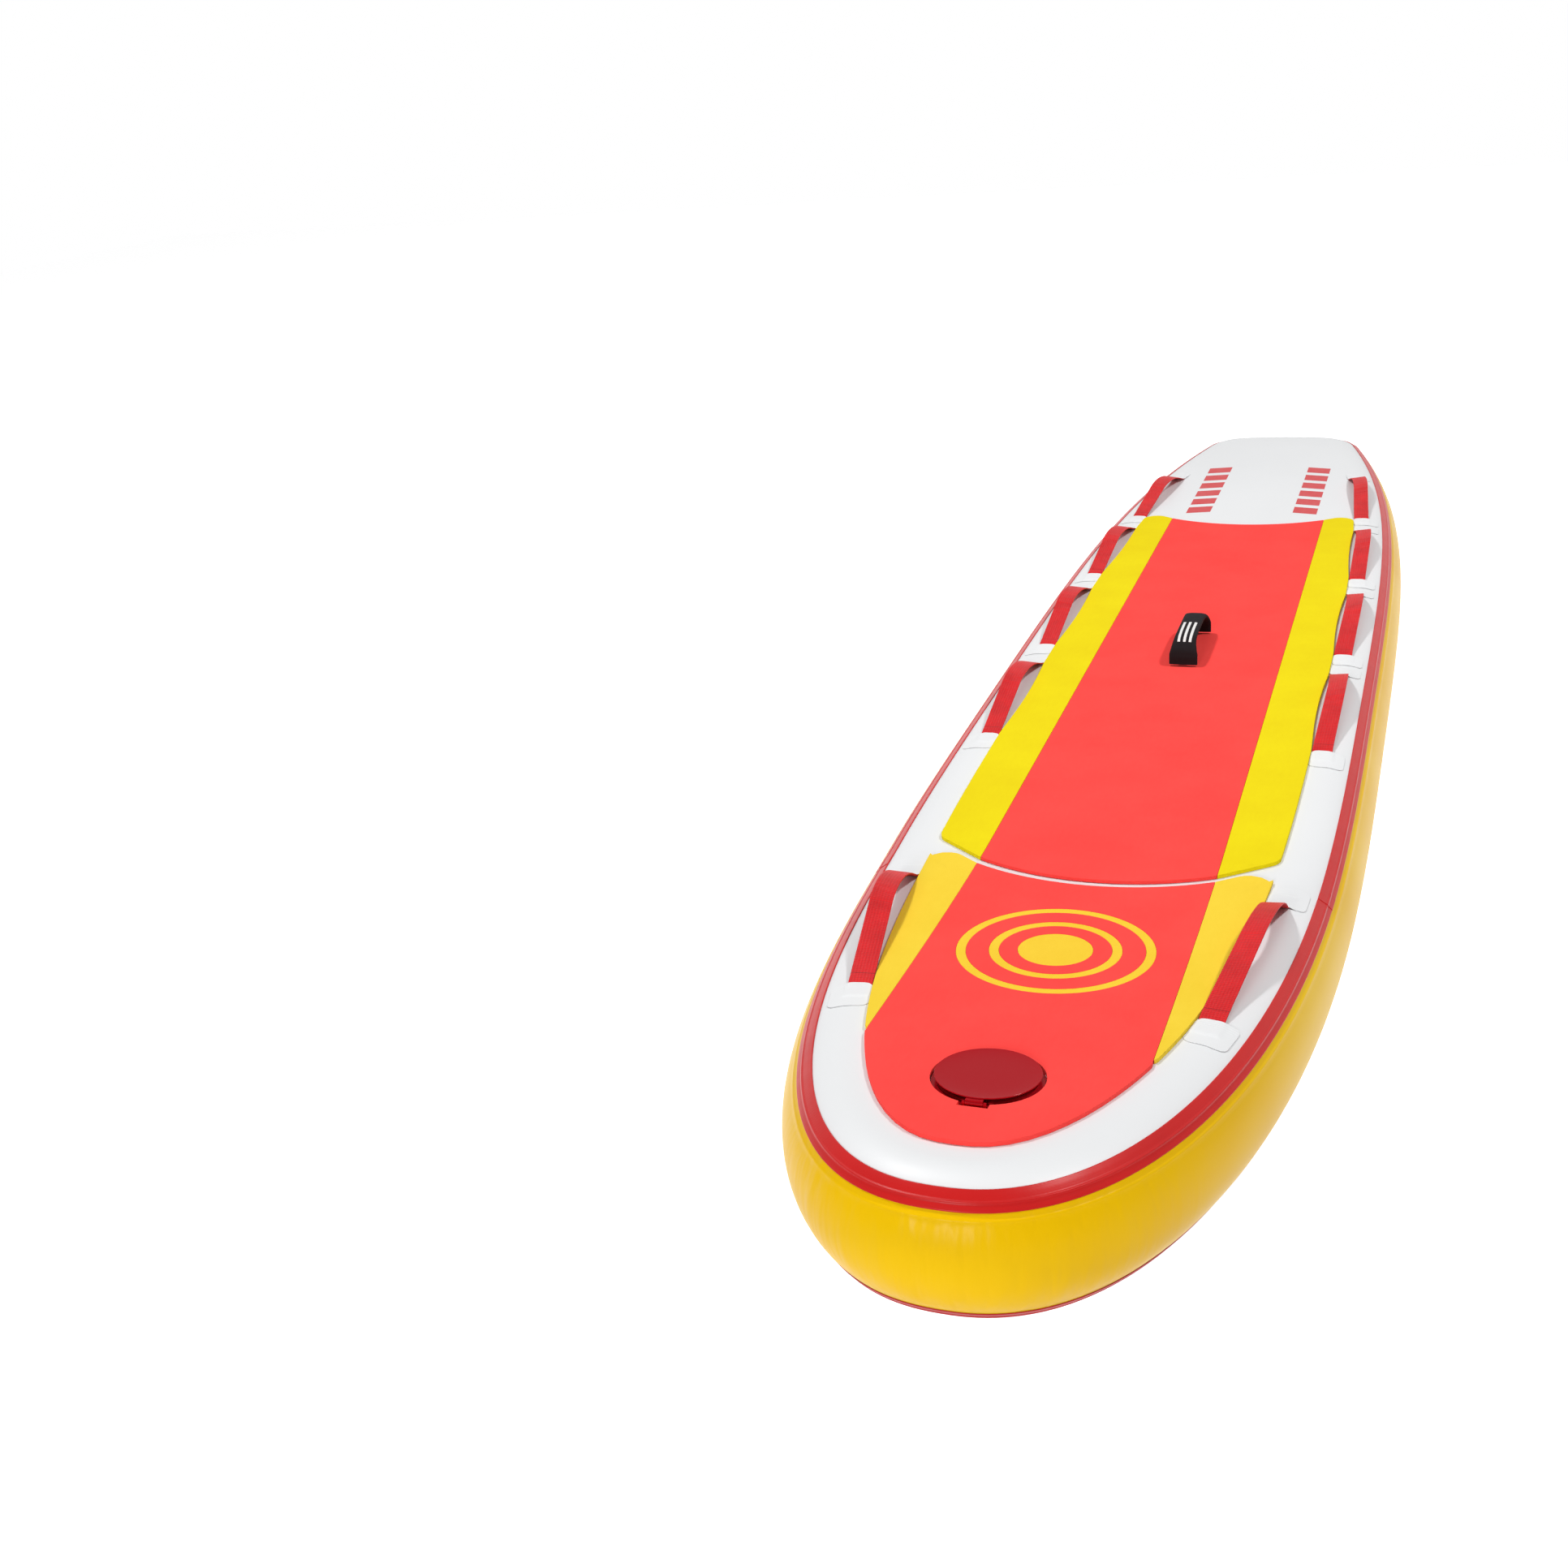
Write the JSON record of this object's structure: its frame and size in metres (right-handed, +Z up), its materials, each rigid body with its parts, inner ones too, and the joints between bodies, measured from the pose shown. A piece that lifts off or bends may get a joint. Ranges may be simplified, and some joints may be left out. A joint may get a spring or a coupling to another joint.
{
  "type": "inflatable rescue board",
  "caption": "Long inflatable rescue board with foam deck pads, webbing grab handles along both sides, a padded carry handle and a covered air valve in the nose.",
  "frame": {"origin": "under the middle of the board, on the plane of its flat bottom", "axes": "+X to the nose, +Y to port, +Z up"},
  "size_m": [3.2, 0.635, 0.211],
  "materials": {
    "core_fabric": "bare drop-stitch cloth, hidden",
    "white_fabric": "coated white cloth, satin",
    "white_patch": "coated white cloth, satin",
    "yellow_fabric": "coated yellow cloth, satin",
    "red_tape": "coated red tape, half gloss",
    "dark_red_tape": "coated red tape, half gloss",
    "red_foam": "matte closed-cell foam",
    "yellow_foam": "matte closed-cell foam",
    "nose_yellow_foam": "matte closed-cell foam",
    "amber_foam": "matte closed-cell foam",
    "red_webbing": "woven webbing",
    "black_webbing": "woven webbing",
    "black_sleeve": "padded cloth",
    "black_plastic": "moulded",
    "gray_plastic": "moulded",
    "red_plastic": "glossy, soft",
    "spring_steel": "bright wire"
  },
  "bodies": {
    "hull": {"drop_stitch_core": "core_fabric", "deck_skin": "white_fabric", "bottom_skin": "white_fabric", "rail_wall": "yellow_fabric", "deck_seam_tape": "red_tape", "bottom_seam_tape": "dark_red_tape", "nose_pad_center": "red_foam", "main_pad_center": "red_foam", "nose_pad_strip_port": "nose_yellow_foam", "main_pad_strip_port": "yellow_foam", "nose_pad_strip_starboard": "nose_yellow_foam", "main_pad_strip_starboard": "yellow_foam", "target_outer_ring": "amber_foam", "target_middle_ring": "amber_foam", "target_disc": "amber_foam", "handle_port_1_base_front": "white_patch", "handle_port_1_base_rear": "white_patch", "handle_port_2_base_front": "white_patch", "handle_port_2_base_rear": "white_patch", "handle_port_3_base_front": "white_patch", "handle_port_3_base_rear": "white_patch", "handle_port_4_base_front": "white_patch", "handle_port_4_base_rear": "white_patch", "handle_port_5_base_front": "white_patch", "handle_port_5_base_rear": "white_patch", "handle_starboard_1_base_front": "white_patch", "handle_starboard_1_base_rear": "white_patch", "handle_starboard_2_base_front": "white_patch", "handle_starboard_2_base_rear": "white_patch", "handle_starboard_3_base_front": "white_patch", "handle_starboard_3_base_rear": "white_patch", "handle_starboard_4_base_front": "white_patch", "handle_starboard_4_base_rear": "white_patch", "handle_starboard_5_base_front": "white_patch", "handle_starboard_5_base_rear": "white_patch", "carry_handle_base_front": "black_webbing", "carry_handle_base_rear": "black_webbing", "valve_body": "black_plastic", "valve_lock_ring": "gray_plastic", "valve_cover_base": "red_plastic"},
    "handle_port_1_strap": {"handle_port_1_loop": "red_webbing"},
    "handle_port_2_strap": {"handle_port_2_loop": "red_webbing"},
    "handle_port_3_strap": {"handle_port_3_loop": "red_webbing"},
    "handle_port_4_strap": {"handle_port_4_loop": "red_webbing"},
    "handle_port_5_strap": {"handle_port_5_loop": "red_webbing"},
    "handle_starboard_1_strap": {"handle_starboard_1_loop": "red_webbing"},
    "handle_starboard_2_strap": {"handle_starboard_2_loop": "red_webbing"},
    "handle_starboard_3_strap": {"handle_starboard_3_loop": "red_webbing"},
    "handle_starboard_4_strap": {"handle_starboard_4_loop": "red_webbing"},
    "handle_starboard_5_strap": {"handle_starboard_5_loop": "red_webbing"},
    "carry_strap": {"carry_handle_webbing": "black_webbing", "carry_handle_sleeve": "black_sleeve"},
    "valve_flap": {"valve_cover_flap": "red_plastic"},
    "valve_lid": {"valve_cap": "black_plastic"},
    "valve_pin": {"valve_plunger": "gray_plastic", "valve_spring": "spring_steel"}
  },
  "joints": [
    {"name": "handle_port_1_fold", "type": "hinge", "parent": "hull", "child": "handle_port_1_strap", "pos_m": [0.88145, 0.22844, 0.15399], "axis": [0.9913, -0.1144, 0.0658], "range_deg": [-20, 20], "stiffness_Nm_per_rad": 0.06},
    {"name": "handle_port_2_fold", "type": "hinge", "parent": "hull", "child": "handle_port_2_strap", "pos_m": [0.08101, 0.24149, 0.15], "axis": [1, -0.0005, 0], "range_deg": [-20, 20], "stiffness_Nm_per_rad": 0.06},
    {"name": "handle_port_3_fold", "type": "hinge", "parent": "hull", "child": "handle_port_3_strap", "pos_m": [-0.32347, 0.23944, 0.15], "axis": [1, 0.0064, 0], "range_deg": [-20, 20], "stiffness_Nm_per_rad": 0.06},
    {"name": "handle_port_4_fold", "type": "hinge", "parent": "hull", "child": "handle_port_4_strap", "pos_m": [-0.72682, 0.22658, 0.15], "axis": [0.9993, 0.0367, 0], "range_deg": [-20, 20], "stiffness_Nm_per_rad": 0.06},
    {"name": "handle_port_5_fold", "type": "hinge", "parent": "hull", "child": "handle_port_5_strap", "pos_m": [-1.12868, 0.18911, 0.15], "axis": [0.9948, 0.1022, 0], "range_deg": [-20, 20], "stiffness_Nm_per_rad": 0.06},
    {"name": "handle_starboard_1_fold", "type": "hinge", "parent": "hull", "child": "handle_starboard_1_strap", "pos_m": [0.88145, -0.22844, 0.15399], "axis": [0.9913, 0.1144, 0.0658], "range_deg": [-20, 20], "stiffness_Nm_per_rad": 0.06},
    {"name": "handle_starboard_2_fold", "type": "hinge", "parent": "hull", "child": "handle_starboard_2_strap", "pos_m": [0.08101, -0.24149, 0.15], "axis": [1, 0.0005, 0], "range_deg": [-20, 20], "stiffness_Nm_per_rad": 0.06},
    {"name": "handle_starboard_3_fold", "type": "hinge", "parent": "hull", "child": "handle_starboard_3_strap", "pos_m": [-0.32347, -0.23944, 0.15], "axis": [1, -0.0064, 0], "range_deg": [-20, 20], "stiffness_Nm_per_rad": 0.06},
    {"name": "handle_starboard_4_fold", "type": "hinge", "parent": "hull", "child": "handle_starboard_4_strap", "pos_m": [-0.72682, -0.22658, 0.15], "axis": [0.9993, -0.0367, 0], "range_deg": [-20, 20], "stiffness_Nm_per_rad": 0.06},
    {"name": "handle_starboard_5_fold", "type": "hinge", "parent": "hull", "child": "handle_starboard_5_strap", "pos_m": [-1.12868, -0.18911, 0.15], "axis": [0.9948, -0.1022, 0], "range_deg": [-20, 20], "stiffness_Nm_per_rad": 0.06},
    {"name": "carry_handle_fold", "type": "hinge", "parent": "hull", "child": "carry_strap", "pos_m": [-0.088, 0, 0.1553], "axis": [1, 0, 0], "range_deg": [-25, 25], "stiffness_Nm_per_rad": 0.15},
    {"name": "valve_cover_hinge", "type": "hinge", "parent": "hull", "child": "valve_flap", "pos_m": [1.4273, 0, 0.20159], "axis": [0, 1, 0], "range_deg": [0, 120]},
    {"name": "valve_cap_turn", "type": "hinge", "parent": "hull", "child": "valve_lid", "pos_m": [1.37159, 0, 0.19581], "axis": [-0.1015, 0, 0.9948], "range_deg": [0, 90]},
    {"name": "valve_plunger_push", "type": "slide", "parent": "hull", "child": "valve_pin", "axis": [0.1015, 0, -0.9948], "range_m": [0, 0.004], "stiffness_N_per_m": 800, "deforming": ["valve_spring"]}
  ]
}
